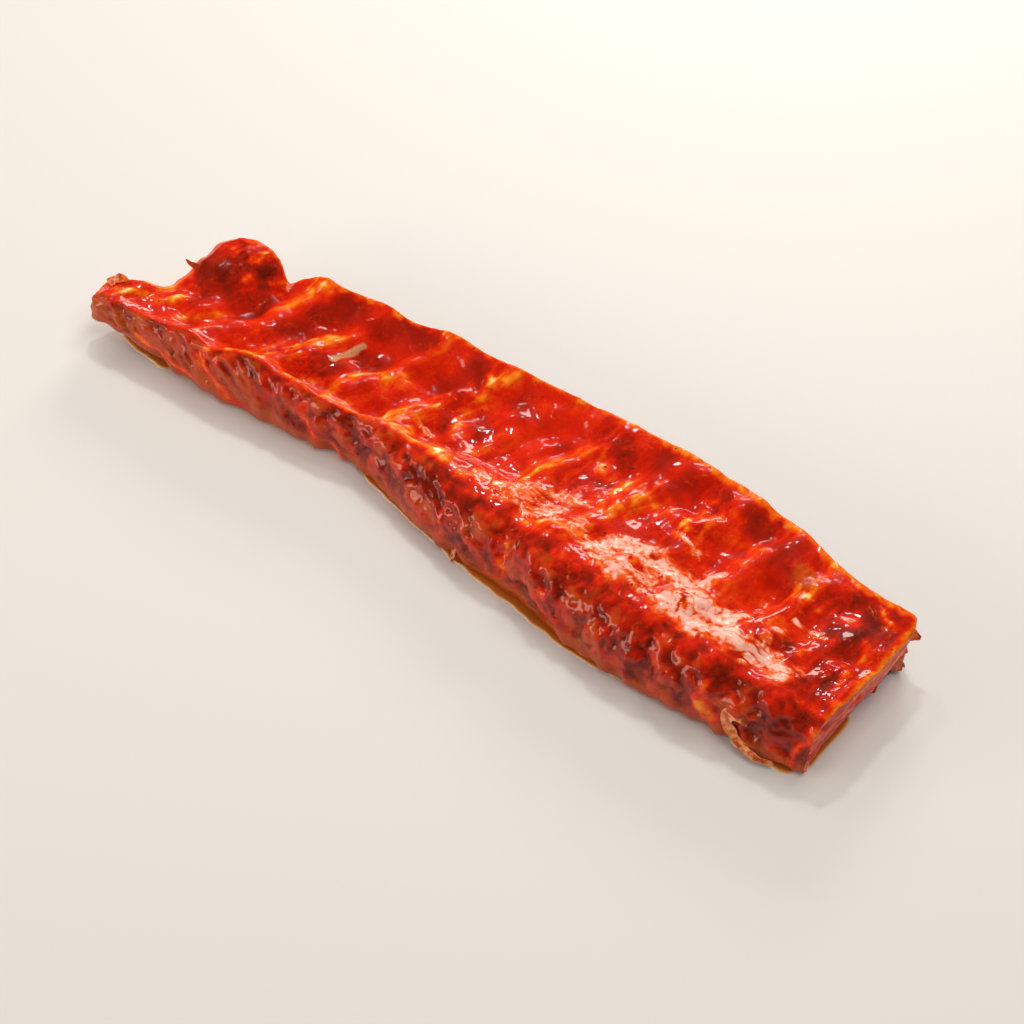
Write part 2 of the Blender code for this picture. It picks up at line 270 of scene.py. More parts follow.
def far_face(rim, share):
    """Points of the far face below the rim points, for each share of the way down to its foot."""
    x, rim_y, rim_z = (rim[:, None, i] for i in range(3))
    low = under_height(x) + FOOT_HEIGHT
    turn = math.pi / 2 * share[None, :]
    down = BACK_CRAG_SPAN * share[None, :]
    crag = EDGE_RAGGEDNESS * uneven(x, down, BACK_CRAG_SIZE, BACK_CRAG_SEED) * np.sin(turn)
    y = rim_y - FAR_FACE_DRAW_IN * np.sin(turn) ** 3 + crag
    z = low + (rim_z - low) * np.clip(np.cos(turn), 0, 1) ** FACE_DROP_POWER
    return np.stack([x + 0 * z, y, z], axis=-1)


def skin_points():
    """The outer skin as a grid of points, section by section, and how far down each face a row lies."""
    u = np.linspace(0, 1, COLUMNS + 1)[:, None]
    v = np.linspace(0, 1, TOP_ROWS + 1)
    v = (v - ROW_CROWDING * np.sin(2 * math.pi * v))[None, :]
    x, y = plan_point(u, v)
    top = np.stack([x, y, top_height(u, v, x, y)], axis=-1)
    front_share = 1 - np.arange(FRONT_ROWS) / FRONT_ROWS
    back_share = np.arange(1, BACK_ROWS + 1) / BACK_ROWS
    skin = np.concatenate([near_face(top[:, 0], front_share), top, far_face(top[:, -1], back_share)], axis=1)
    still = np.zeros(TOP_ROWS + 1)
    front = np.concatenate([front_share, still, 0 * back_share])
    back = np.concatenate([0 * front_share, still, back_share])
    return skin, np.tile(front, (COLUMNS + 1, 1)), np.tile(back, (COLUMNS + 1, 1))


# Where the cover of glaze changes, as brushed lines: a half width, then the line's points in the plan.
FAT_LINES = [
    (3.0, (-171, -30), (-163, -29), (-155, -22), (-147, -16), (-141, -8)), (1.8, (-167, -23), (-152, -12)),
    (2.5, (-139, -23), (-136, -18), (-130, -14), (-126, -9)), (2.0, (-151, -12), (-151, -2)),
    (2.4, (-131, 10), (-128, 7)), (2.0, (-141, 16)), (2.8, (-134, 20), (-128, 22)), (1.8, (-117, 13)),
    (2.6, (-110, 4), (-106, 14), (-102, 21)), (4.2, (-107, -25), (-102, -17), (-96, -9), (-88, -3), (-84, 7)),
    (3.0, (-92, -21), (-84, -20), (-76, -20)), (3.6, (-74, -21), (-64, -18), (-56, -18), (-50, -22)),
    # The next line, along the near ridge, is orange fat, partly a painted highlight of the glaze there.
    (2.6, (-48, -19), (-36, -15), (-22, -15), (-8, -16)),
    (3.0, (-61, 3), (-55, 7), (-46, 9)), (3.0, (-46, -24), (-42, -12), (-34, -2), (-29, 5), (-24, 10)),
    (2.6, (-45, 27)), (2.6, (-43, 31)), (3.2, (-18, 28)), (3.4, (-11, 31)), (3.2, (-14, 20)),
    (2.2, (-16, 10), (-15, 2)), (3.4, (20, -1), (24, 6), (28, 15), (32, 23)), (2.6, (40, 18), (46, 17)),
    (2.2, (51, 7), (54, 16), (56, 22)), (2.2, (56, -7), (58, 0), (61, 9), (63, 17), (65, 24)),
    (3.6, (69, 17), (75, 20), (78, 23)), (2.6, (85, 6), (85, 18), (85, 30)), (2.6, (94, 27), (98, 24)),
    (3.8, (102, 21), (112, 22)), (2.6, (113, 3), (114, 13)), (2.4, (142, 16), (146, 10)),
    (3.2, (151, 16), (157, 18)), (2.6, (165, 10), (167, -2), (169, -12), (171, -20)),
    (2.4, (163, 28), (169, 23), (173, 25)), (3.0, (134, 14), (137, 16)), (3.0, (36, -22), (50, -17))]
# Pale cream fat and cartilage; some lines, as the one along the near ridge, are painted highlights where the
# glaze shines.
CREAM_AND_HIGHLIGHT_LINES = [
    (2.2, (-147, -16), (-144, -13)), (3.0, (-100, 22), (-96, 20)), (1.4, (-62, -19), (-54, -20)),
    (2.0, (-110, -26), (-101, -24), (-92, -24)), (3.4, (-76, -14), (-69, -9), (-65, -3), (-62, 2)),
    (3.4, (-42, -10), (-36, -11)), (1.4, (-44, 32)), (2.0, (-24, -7), (-15, -9)), (2.6, (-17, 28)),
    (1.9, (-30, -17), (-20, -17.5), (-8, -18), (0, -18), (9, -20)), (2.2, (36, -22), (43, -21), (56, -13)),
    (1.8, (165, 27), (169, 24)), (1.0, (54, 14), (55, 19)), (1.6, (-93, -7), (-90, -5)), (1.6, (138, 15)),
    (1.0, (-123, 15), (-119, 17)), (1.2, (-134, 15), (-131, 17)), (1.0, (-138, 21), (-133, 22)),
    (1.4, (-168, -16), (-158, -9), (-153, -3))]
# Pale skin, whose palest tone is partly a painted sheen of the wet glaze over it
SKIN_AND_SHEEN_LINES = [
    (4.6, (4, -17), (14, -15), (22, -12), (29, -9), (34, -4), (40, 0), (46, -1)), (3.6, (24, -18), (38, -14)),
    (4.4, (38, -10), (49, -14), (56, -13), (62, -15)), (7.5, (66, -15), (72, -9), (80, -6), (88, -7)),
    (7.0, (74, -20), (88, -16)), (6.6, (96, -8), (103, -10), (110, -14), (118, -11), (123, -10)),
    (6.8, (102, -20), (116, -21)), (6.0, (124, -19), (134, -19), (141, -16), (148, -19)), (3.6, (137, -4)),
    (3.0, (140, 5), (148, 4)), (2.4, (-30, -6), (-22, -4)), (2.6, (92, 6), (86, 7)),
    (3.0, (104, -2), (106, 3))]
RED_GAPS = [
    (2.4, (82, -12)), (2.6, (53, -5)), (4.6, (113, 0), (121, 1), (127, 8), (133, 2)), (4.2, (145, 2)),
    (0.8, (101, -18), (106, -17), (109, -19)), (0.8, (106, -17), (106, -22)), (0.8, (106, -16), (103, -12)),
    (1.0, (92, -18), (97, -13)), (1.2, (12, -8), (22, -6)), (1.3, (127, -12), (132, -15))]
POOLS = [
    (3.5, (-120, -4), (-118, 3), (-117, 11)), (6.0, (-138, 3), (-128, 14)), (5.0, (-146, 0), (-140, -8)),
    (6.0, (-101, -3), (-97, 6), (-94, 12), (-90, 18)), (6.0, (-87, 21), (-71, 22), (-60, 26), (-50, 28)),
    (5.0, (-84, -3), (-82, -10), (-76, -9), (-73, -3)), (4.5, (-66, 5), (-62, 12)), (3.0, (-20, 2)),
    (4.0, (-9, 11), (-4, 5)), (6.0, (-26, 27), (-20, 24)), (5.0, (-33, 18), (-24, 16)),
    (2.5, (-27, -4), (-20, -8)),
    (4.0, (36, 7), (42, 11), (46, 13)), (5.0, (38, 31), (44, 28)), (6.5, (62, 33)), (6.5, (72, 28)),
    (5.5, (88, 31), (95, 28)), (7.0, (102, 28), (108, 28), (114, 26), (121, 23)), (8.0, (160, 20), (156, 8)),
    (5.0, (148, 22)), (3.0, (142, -8)), (3.0, (133, 5)), (4.0, (-3, 27), (3, 20)), (3.5, (24, 19))]
# Where the glaze is thick and lies smooth, and where the surface below is grainy
SMOOTH_LINES = [
    (9.0, (-98, 2), (-85, 20), (-60, 24), (-30, 25)), (9.0, (0, 30), (8, 14), (18, 10), (18, 28)),
    (6.0, (-40, 16), (-55, 14)), (7.0, (-118, -8), (-108, 8)), (5.0, (-132, -6)), (5.0, (115, 2), (120, 14)),
    (7.0, (100, 28), (118, 24)), (7.0, (62, 32), (74, 28)), (6.0, (158, 18))]
GRAINY_LINES = [
    (5.0, (-84, -3), (-82, -10), (-76, -9)), (5.0, (-98, -12), (-88, -4)), (5.0, (44, 8), (50, 6)),
    (5.0, (80, 14), (90, 12)), (5.0, (96, -8), (104, -12)), (5.0, (130, 22), (136, 14)),
    (6.0, (156, -18), (164, -10)), (5.0, (138, -6), (146, -10)), (7.0, (-136, 12), (-128, 18)),
    (5.0, (-168, -27), (-160, -24)), (5.0, (24, -12), (40, -6)), (5.0, (60, -12), (84, -10))]
# The bare sliver of bone, and the round end of a rib's gristle
BARE_BONE = [(1.5, (-75.5, 0), (-74, 4)), (2.0, (-74, 4), (-72, 8), (-70.5, 11.5))]
GRISTLE = [(5.4, (131, 22))]
# Folds of skin on the near face that show orange, in x and height
FACE_FAT_LINES = [
    (1.8, (-113, 25), (-115, 19), (-112, 13), (-104, 8), (-95, 4)), (2.0, (-68, 20), (-62, 8)),
    (1.8, (131, 22), (130, 15), (134, 8)), (1.6, (37, 21), (38, 8)), (1.4, (8, 19), (8, 14)),
    (2.0, (-52, 6), (-50, 3)), (1.6, (60, 17)), (2.0, (172, 20), (168, 6)), (1.6, (-150, 12), (-120, 6))]
# Beads of glaze that stand proud and catch the light: x, y, radius and height
BEADS = [
    (-118, -10, 4.2, 0.7), (-112, 2, 2.6, 0.5), (-110, -3, 2.2, 0.45), (-111, -8, 2.2, 0.45),
    (-116, -18, 2.6, 0.5), (-140, 5, 4.0, 0.7), (119, 5, 3.0, 0.5), (-36, 24, 2.2, 0.4), (-25, 15, 2.2, 0.4),
    (-124, 9, 2.4, 0.5), (-3, 16, 2.8, 0.45), (138, 11, 2.0, 0.4), (79, 10, 2.2, 0.4), (44, 28, 3.0, 0.5)]


def brushed(lines, x, y, edge=1.3):
    """1 on the brushed lines, fading out past each line's half width; a higher edge fades faster."""
    cover = np.zeros(np.shape(x))
    for half_width, *path in lines:
        nearest = np.full(np.shape(x), np.inf)
        for (ax, ay), (bx, by) in zip(path, path[1:] or path):
            dx, dy = bx - ax, by - ay
            part = np.clip(((x - ax) * dx + (y - ay) * dy) / max(dx * dx + dy * dy, 1e-9), 0, 1)
            nearest = np.minimum(nearest, (x - ax - part * dx) ** 2 + (y - ay - part * dy) ** 2)
        cover = np.maximum(cover, np.exp(-(nearest / half_width ** 2) ** edge))
    return cover


def domes(points, size, seed):
    """Rounded lumps packed side by side, from 0 in the creases between them to 1 on a lump."""
    table = np.random.default_rng(seed).uniform(0, 1, (4096, 3))
    sway = np.stack([grain(points, 1.3 * size, seed + i) for i in range(3)], axis=-1)
    place = (points + 0.35 * size * sway) / size
    cell = np.floor(place).astype(int)
    nearest = np.full(place.shape[:-1], np.inf)
    for step in np.ndindex(3, 3, 3):
        beside = cell + np.array(step) - 1
        index = (beside[..., 0] * 73 + beside[..., 1] * 157 + beside[..., 2] * 311) % len(table)
        nearest = np.minimum(nearest, np.sum((beside + table[index] - place) ** 2, axis=-1))
    return np.clip(1 - nearest, 0, 1)


# Relief of the faces in mm: the film's folds as size, height, level and seed, then the lumps of meat
FILM_FOLDS = [(7.0, 1.3, 0.7, 45), (3.4, 0.6, 0.6, 46)]
FILM_SLANT = 0.7
FILM_STRETCH = 0.45
FILM_DRAWN_SIZE = 18.0
MEAT_LUMP_SIZE, MEAT_LUMP_HEIGHT, MEAT_LUMP_LEVEL = 9.5, 2.2, 0.74
SMALL_LUMP_SIZE, SMALL_LUMP_HEIGHT, SMALL_LUMP_LEVEL = 4.8, 0.4, 0.72
CLUSTER_SIZE, CLUSTER_HEIGHT = 15.0, 0.9
SLANTED_SIZE, SLANTED_HEIGHT = 6.0, 0.7
CREASE_SIZE, CREASE_HEIGHT = 4.0, 0.5


def face_folds(points):
    """Relief of the near face in mm: rounded lumps of meat, and a wrinkled film towards the left end."""
    x, y, z = (points[..., i] for i in range(3))
    slanted = np.stack([x + FILM_SLANT * z, y, z * FILM_STRETCH], axis=-1)
    film = sum(height * (level - 2 * np.abs(grain(slanted, size, seed)))
               for size, height, level, seed in FILM_FOLDS)
    clusters = rise(-0.2, 0.35, grain(points, CLUSTER_SIZE, 49))
    small = SMALL_LUMP_HEIGHT + CLUSTER_HEIGHT * clusters
    lumps = MEAT_LUMP_HEIGHT * (domes(points, MEAT_LUMP_SIZE, 48) - MEAT_LUMP_LEVEL)
    lumps = lumps + small * (domes(points, SMALL_LUMP_SIZE, 47) - SMALL_LUMP_LEVEL)
    lumps = lumps + SLANTED_HEIGHT * grain(slanted, SLANTED_SIZE, 57)
    lumps = lumps + CREASE_HEIGHT * (0.5 - 2 * np.abs(grain(points, CREASE_SIZE, 58)))
    left_face = rise(-50, -100, x)
    drawn = 0.45 + 0.75 * rise(-0.4, 0.4, grain(points, FILM_DRAWN_SIZE, 56))
    return left_face * drawn * film + (1 - left_face) * lumps


# Sizes in mm of what breaks up every cover, and how far a brushed edge wanders, as size and distance
LUMP_MM, BIT_MM, FINE_MM = 9.0, 3.6, 1.5
STREAK_WIDTH, FIBRE_WIDTH, LAYER_DEPTH, FLECK_SIZE, VEIN_SPACING = 3.0, 1.8, 2.0, 3.2, 5.0
WANDER = [(11.0, 2.8), (3.6, 1.2)]
PLAN_WIDTH = 55.0
BONE_GLOW_WIDTH = 6.0
# How bare each place is: 0 is the deepest pool of glaze, and 1 is clean fat or bone
# The rim's value also paints the thin far rim pale orange, a painted glow as if lit through from behind; the
# cut and left ends share it as their pale edge.
BARE_MEAT, BARE_RED, BARE_EDGE_AND_RIM_GLOW, BARE_FACE_PARTLY_SHADED, BARE_WALL = 0.48, 0.55, 0.76, 0.15, 0.56
# The near face's value is low partly as painted shade, and the folds' share makes the face's creases darker
# than its crests, partly as painted shade.
OVER_BONE, OVER_FAT, OVER_CREAM_AND_HIGHLIGHT, OVER_FOLDS_AND_CREASE_SHADE, OVER_FACE_FAT, OVER_LAYERS = 0.09, 0.3, 0.26, 0.3, 0.36, 0.24
UNDER_POOL, UNDER_DARK_END = 0.2, 0.14
FLECKS = 0.16


def covers(points, front, back, wall):
    """The finish at the points: how bare of glaze, what shows through it, and how rough it is."""
    x, y, z = (points[..., i] for i in range(3))
    lumps, bits, fine = (grain(points, size, 30 + i) for i, size in enumerate((LUMP_MM, BIT_MM, FINE_MM)))
    warped_x = x + sum(reach * grain(points, size, 35 + i) for i, (size, reach) in enumerate(WANDER))
    warped_y = y + sum(reach * grain(points, size, 37 + i) for i, (size, reach) in enumerate(WANDER))
    lean = along(BONE_LEAN, x)
    across = x - lean * (y - along(NEAR_RIDGE, x)) / PLAN_WIDTH
    bone_glow = sum(np.exp(-((across + lean / 2 - bone) / BONE_GLOW_WIDTH) ** 2) for bone, _ in BONES)
    streak = grain(np.stack([across, y * 0.16, z * 0.3], axis=-1), STREAK_WIDTH, 39)
    fibre = grain(np.stack([x * 0.2, y, z], axis=-1), FIBRE_WIDTH, 40)
    layers = grain(np.stack([x, y * 0.2, z + 0.08 * y], axis=-1), LAYER_DEPTH, 55)
    side = np.maximum(front, back)
    top = (1 - rise(0.0, 0.2, side)) * (1 - wall)
    face = rise(0.0, 0.14, side)
    height = z - under_height(x)
    smooth = top * brushed(SMOOTH_LINES, x, y)
    grainy = brushed(GRAINY_LINES, x, y)
    fat = brushed(FAT_LINES, warped_x, warped_y, 0.8) * (0.85 + 0.5 * streak)
    # Cream: pale fat and cartilage, and along the near ridge partly a painted highlight.
    cream_and_highlight = brushed(CREAM_AND_HIGHLIGHT_LINES, warped_x, warped_y, 1.0) * (0.85 + 0.5 * bits)
    red = brushed(RED_GAPS, warped_x, warped_y)
    pool = brushed(POOLS, warped_x, warped_y, 1.0)
    dark_end = np.maximum(rise(-110, -124, x) * rise(-8, 4, y), rise(146, 162, x) * rise(-25, -20, y))
    right_half = rise(40, 65, x)
    fatty = OVER_FAT * fat * (1 - 0.4 * right_half) * (0.9 + 0.5 * bits)
    bare = BARE_MEAT + OVER_BONE * bone_glow * (0.7 + 0.8 * lumps) + fatty + OVER_CREAM_AND_HIGHLIGHT * cream_and_highlight
    bare = bare - 0.03 * right_half
    bare = bare - (UNDER_POOL * pool + UNDER_DARK_END * dark_end) * (1 - 0.7 * np.clip(fat, 0, 1))
    bare = bare + (BARE_RED - bare) * 0.7 * red
    # The thin far rim is painted pale as a painted glow of light coming through it from behind; the cut and
    # left ends get a pale edge of the same value.
    rim_gap = along(FAR_RIM, x) - y
    rim = rise(2.0, 0.0, rim_gap - 1.4 * right_half + 1.6 * bits) * rise(-150, -135, x)
    cut_rim = rise(2.6, 0.4, along(CUT_END, y) - x + 0.8 * bits) * top
    left_rim = rise(2.6, 0.4, x - along(LEFT_END, y) + 0.8 * bits) * top
    bare = bare + (BARE_EDGE_AND_RIM_GLOW - bare) * np.maximum(rim, np.maximum(cut_rim, left_rim))
    bulge_top = rise(10, 40, x) * rise(0.42, 0.1, side)
    # The face's folds: crests bare of glaze and creases deep in it, which also darkens the creases as painted
    # shade.
    folds_and_crease_shade = rise(-1.0, 0.9, face_folds(points))
    face_fat = brushed(FACE_FAT_LINES, warped_x, z + 1.2 * bits)
    # The near face is painted dark, partly as thick browned glaze and partly as painted shade, with its
    # creases darker still.
    on_face = BARE_FACE_PARTLY_SHADED + OVER_FOLDS_AND_CREASE_SHADE * folds_and_crease_shade + 0.08 * bulge_top + 0.05 * fibre + OVER_FACE_FAT * face_fat
    bare = bare + (on_face - bare) * face * (1 - wall)
    bare = bare + (BARE_WALL + OVER_LAYERS * layers + 0.12 * lumps - bare) * wall
    busy = (1 - 0.75 * smooth) * (1 + 0.6 * grainy)
    flecks = rise(0.1, 0.3, grain(np.stack([across, y * 0.4, z], axis=-1), FLECK_SIZE, 54)) - 0.35
    warm = np.clip(bone_glow + fat, 0, 1) * top
    mottling = 0.05 * (lumps + bits + streak * top) + 0.02 * fine
    bare = bare + busy * (mottling + FLECKS * flecks * warm)
    veins = rise(0.16, 0.02, np.abs(grain(np.stack([x * 0.5, y, z], axis=-1), VEIN_SPACING, 51)))
    # The skin: pale membrane under the glaze, whose palest colour is partly a painted sheen of the glaze over
    # it.
    skin = brushed(SKIN_AND_SHEEN_LINES, warped_x, warped_y, 0.9) + 0.22 * lumps + 0.12 * bits + 0.16 * fibre
    skin = rise(0.05, 1.0, skin - 0.4 * veins - red) * (1 - rise(0.02, 0.25, side)) * (1 - wall)
    skin = skin * (0.62 + 0.38 * rise(48, 68, x) + 0.25 * rise(92, 108, x))
    # Pale patches on the cut wall, partly a painted sheen of the wall's gloss.
    skin = skin + 0.45 * wall * rise(-0.1, 0.6, layers + 0.3 * bits)
    left_face = rise(-60, -100, x)
    foot = rise(11.0 + 6 * left_face, 4.0 + 5 * left_face, height + 2.2 * lumps + 1.2 * bits)
    patchy = 0.45 * folds_and_crease_shade * (1 - bulge_top) + 0.4 * lumps + 0.3 * bits + 0.15 * left_face
    brown = face * np.maximum(foot * (0.8 + 0.5 * fibre), patchy) * (1 - 0.9 * face_fat)
    brown = np.maximum(brown, (0.25 + 0.3 * lumps) * wall)
    bone = brushed(BARE_BONE, 0.5 * (x + warped_x), 0.5 * (y + warped_y)) * top * (0.95 + 0.3 * bits)
    gristle = brushed(GRISTLE, warped_x, warped_y) * top
    rough = 0.55 + 0.45 * grainy + 0.35 * skin - 0.32 * smooth + 0.1 * face + 0.4 * gristle + 0.2 * lumps
    return {"bare": np.clip(bare, 0, 1), "skin": skin, "brown": brown, "bone": bone, "gristle": gristle,
            "streak": 0.5 + 0.5 * streak, "rough": np.clip(rough, 0.05, 1)}


# Fine relief in mm. A soft grain or swell has a height, size and seed, and a crisp grain has the values
# that it rises between after its height. Then come the heights of what shows through the glaze.
SOFT_GRAINS = [(0.34, 4.6, 42), (0.16, 2.1, 43)]
LOW_SWELLS = (0.2, 9.0, 41)
CRISP_GRAINS = [(0.34, 0.05, 0.3, 3.8, 52), (0.2, 0.0, 0.25, 2.0, 53)]
PIMPLE_HEIGHT, PIMPLE_SIZE, PIMPLE_LEVEL = 0.5, 3.0, 0.72
FAT_HEIGHT, SKIN_HEIGHT, STREAK_HEIGHT, WRINKLE_HEIGHT = 0.5, 0.25, 0.14, 0.4
BONE_HEIGHT, GRISTLE_HEIGHT, FOOT_FIBRE_HEIGHT = 0.5, 0.8, 0.4
WRINKLE_SPACING = 3.0
FOOT_FIBRE_WIDTH = 2.6
# The relief fades out at the foot, and by half where the solid is highest
FOOT_FADE = (0.86, 1.0)
HIGH_FADE = (27.0, 29.4)


def relief(points, cover, front, back):
    """How far the fine folds, grains and beads stand out of the solid's own form, in mm."""
    x, y, z = (points[..., i] for i in range(3))
    side = np.maximum(front, back)
    rough, face = cover["rough"], rise(0.05, 0.3, side)
    grainy = brushed(GRAINY_LINES, x, y)
    grains = sum(height * grain(points, size, seed) for height, size, seed in SOFT_GRAINS)
    grains = grains + PIMPLE_HEIGHT * grainy * (domes(points, PIMPLE_SIZE, 44) - PIMPLE_LEVEL)
    crisp = 0.35 + 0.65 * np.maximum(cover["skin"], grainy)
    for height, low, high, size, seed in CRISP_GRAINS:
        grains = grains + height * crisp * rise(low, high, grain(points, size, seed))
    raised = LOW_SWELLS[0] * grain(points, *LOW_SWELLS[1:]) + rough ** 1.3 * (1 - 0.5 * face) * grains
    raised = raised + FAT_HEIGHT * rise(0.55, 0.9, cover["bare"]) * (1 - face)
    raised = raised + SKIN_HEIGHT * cover["skin"] * (1 - face)
    creases = 1 - 2 * np.abs(2 * cover["streak"] - 1)
    raised = raised + STREAK_HEIGHT * rough * creases * (1 - face)
    wrinkled = grain(np.stack([x * 0.35 + 0.2 * y, y, z], axis=-1), WRINKLE_SPACING, 44)
    raised = raised + WRINKLE_HEIGHT * cover["skin"] * (1 - 2 * np.abs(wrinkled))
    raised = raised + BONE_HEIGHT * cover["bone"] + GRISTLE_HEIGHT * cover["gristle"]
    lying = FOOT_FIBRE_HEIGHT * grain(np.stack([x * 0.25, y, z], axis=-1), FOOT_FIBRE_WIDTH, 50)
    raised = raised + face * ((1 - 0.5 * cover["brown"]) * face_folds(points) + cover["brown"] * lying)
    raised = raised + bump_sum(BEADS, x, y) * (1 - face)
    return raised * (1 - rise(*FOOT_FADE, side)) * (1 - 0.5 * rise(*HIGH_FADE, z))


WALL_LAYERS = (4.0, 10.0, 2.4)
WALL_LUMP_SIZE, WALL_LUMP_HEIGHT, WALL_LUMP_LEVEL = 4.2, 0.9, 0.7


def wall_points(edge, base, rows, outward, seed):
    """Rows of an end wall between its top edge and its base line, with the layers of the meat raised."""
    share = np.arange(1, rows)[:, None, None] / rows
    wall = edge[None] + (base - edge)[None] * share
    lumps = WALL_LUMP_HEIGHT * (domes(wall, WALL_LUMP_SIZE, seed + 1) - WALL_LUMP_LEVEL)
    layers = grain(wall, WALL_LAYERS, seed) + lumps
    fade = np.sin(math.pi * share[..., 0])
    wall[..., 0] += outward * (END_BULGE * fade + layers * np.sqrt(fade))
    return wall


def base_line(under, count):
    """The underside's end line, read from near to far at as many places as the skin has rows."""
    share = np.linspace(0, len(under) - 1, count)
    return np.stack([np.interp(share, np.arange(len(under)), under[:, i]) for i in range(3)], axis=-1)


def to_metres(points):
    """Points of the plan, in mm, as the frame's metres."""
    return (np.asarray(points, float) - PLAN_MIDDLE) / 1000.0


def mesh_object(name, points, faces, masks=None):
    """A smooth mesh from points of the plan, carrying masks as attributes for its material."""
    data = bpy.data.meshes.new(name)
    data.from_pydata(to_metres(points).tolist(), [], faces)
    for mask, values in (masks or {}).items():
        stored = data.attributes.new(mask, "FLOAT", "POINT")
        stored.data.foreach_set("value", np.asarray(values, np.float32).ravel())
    data.shade_smooth()
    piece = bpy.data.objects.new(name, data)
    bpy.context.scene.collection.objects.link(piece)
    return piece


# What the mesh carries at every point for its material, and how far the left wall looks cut
MASKS = ("bare", "skin", "brown", "bone", "gristle", "rough")
LEFT_WALL_CUT = 0.6


def rack_mesh():
    """The whole rack: its skin and underside as rings of points, and a wall at each end."""
    skin, front, back = skin_points()
    cover = covers(skin, front, back, np.zeros(front.shape))
    along_rack, across = np.gradient(skin, axis=0), np.gradient(skin, axis=1)
    normal = np.cross(along_rack, across)
    normal /= np.linalg.norm(normal, axis=-1)[..., None]
    skin = skin + normal * relief(skin, cover, front, back)[..., None]
    tuck = CUT_UNDERCUT * rise(CUT_UNDERCUT_LENGTH, 0.0, skin[-1, 0, 0] - skin[:, 0, 0])[:, None]
    share = np.linspace(0, 1, UNDER_ROWS + 1)[None, :]
    far_x, near_x = skin[:, -1, 0][:, None], skin[:, 0, 0][:, None]
    far_y, near_y = skin[:, -1, 1][:, None] - TURN_UNDER, skin[:, 0, 1][:, None] + TURN_UNDER
    under_x = far_x + (near_x - far_x) * share - tuck
    under = np.stack([under_x, far_y + (near_y - far_y) * share, under_height(under_x)], axis=-1)
    rings = np.concatenate([skin, under], axis=1)
    rows, skin_rows = rings.shape[1], skin.shape[1]
    points, faces = [rings.reshape(-1, 3)], []
    for column in range(COLUMNS):
        here, there = column * rows, (column + 1) * rows
        faces += [(here + k, there + k, there + (k + 1) % rows, here + (k + 1) % rows) for k in range(rows)]
    masks = {}
    for name in MASKS:
        below = np.full(under.shape[:2], 1.0 if name == "brown" else 0.0)
        masks[name] = [np.concatenate([cover[name], below], axis=1).ravel()]
    total = rings.shape[0] * rows
    for column, wall_rows, outward, seed in ((0, LEFT_WALL_ROWS, -1, 51), (COLUMNS, CUT_WALL_ROWS, 1, 53)):
        under_line = under[column][::-1]
        base = base_line(under_line, skin_rows)
        wall = wall_points(skin[column], base, wall_rows, outward, seed)[:, 1:-1]
        first = column * rows
        upper = list(range(first, first + skin_rows))
        lower_line = list(range(first + rows - 1, first + skin_rows - 1, -1))
        order = 1 if outward > 0 else -1
        for row in range(wall_rows - 1):
            start = total + row * (skin_rows - 2)
            current = [upper[0], *range(start, start + skin_rows - 2), upper[-1]]
            for k in range(skin_rows - 1):
                corners = list(dict.fromkeys([upper[k], current[k], current[k + 1], upper[k + 1]]))
                if len(corners) > 2:
                    faces.append(tuple(corners[::order]))
            upper = current
        i = j = 0
        while i < len(upper) - 1 or j < len(lower_line) - 1:
            i_next, j_next = (i + 1) / (len(upper) - 1), (j + 1) / (len(lower_line) - 1)
            if j == len(lower_line) - 1 or (i < len(upper) - 1 and i_next <= j_next):
                corners = (upper[i], lower_line[j], upper[i + 1])
                i += 1
            else:
                corners = (upper[i], lower_line[j], lower_line[j + 1])
                j += 1
            faces.append(corners[::order])
        total += wall.shape[0] * wall.shape[1]
        points.append(wall.reshape(-1, 3))
        still = np.zeros(wall.shape[:2])
        wall_cover = covers(wall, still, still, still + (1 if outward > 0 else LEFT_WALL_CUT))
        for name in MASKS:
            masks[name].append(wall_cover[name].ravel())
    return mesh_object("glazed_rack", np.concatenate(points), faces,
                       {name: np.concatenate(value) for name, value in masks.items()})


def hex_colour(text):
    """An sRGB hex colour as Blender's linear colour with full alpha."""
    parts = [int(text[i:i + 2], 16) / 255 for i in (1, 3, 5)]
    return (*(c / 12.92 if c <= 0.04045 else ((c + 0.055) / 1.055) ** 2.4 for c in parts), 1.0)


def node(material, kind, inputs=None, **settings):
    """Adds a node with its settings. Each input is a value or the socket that is linked to it."""
    made = material.node_tree.nodes.new(kind)
    for name, value in settings.items():
        setattr(made, name, value)
    for socket, value in (inputs or {}).items():
        if isinstance(value, bpy.types.NodeSocket):
            material.node_tree.links.new(value, made.inputs[socket])
        else:
            made.inputs[socket].default_value = value
    return made


def new_material(name):
    """An empty node material and its Principled BSDF."""
    material = bpy.data.materials.new(name)
    material.use_nodes = True
    return material, material.node_tree.nodes["Principled BSDF"]


# Barbecue glaze over baked pork: sugar and tomato boiled down to a clear wet gel, so thick glaze is dark
# wine red, thin glaze is bright red, and fat, bone and skin show through it orange, cream and pink.
# The gel is wet, so it has a sharp coat over the softer meat, whose sheen is also partly painted in as the
# palest pink and cream.
GLAZE_TO_BARE = [(0.0, "#4e1006"), (0.2, "#821a08"), (0.35, "#ac1c08"), (0.48, "#d02006"), (0.58, "#da3406"),
                 (0.68, "#e25008"), (0.79, "#ec7410"), (0.9, "#f4982c"), (1.0, "#fac47c")]
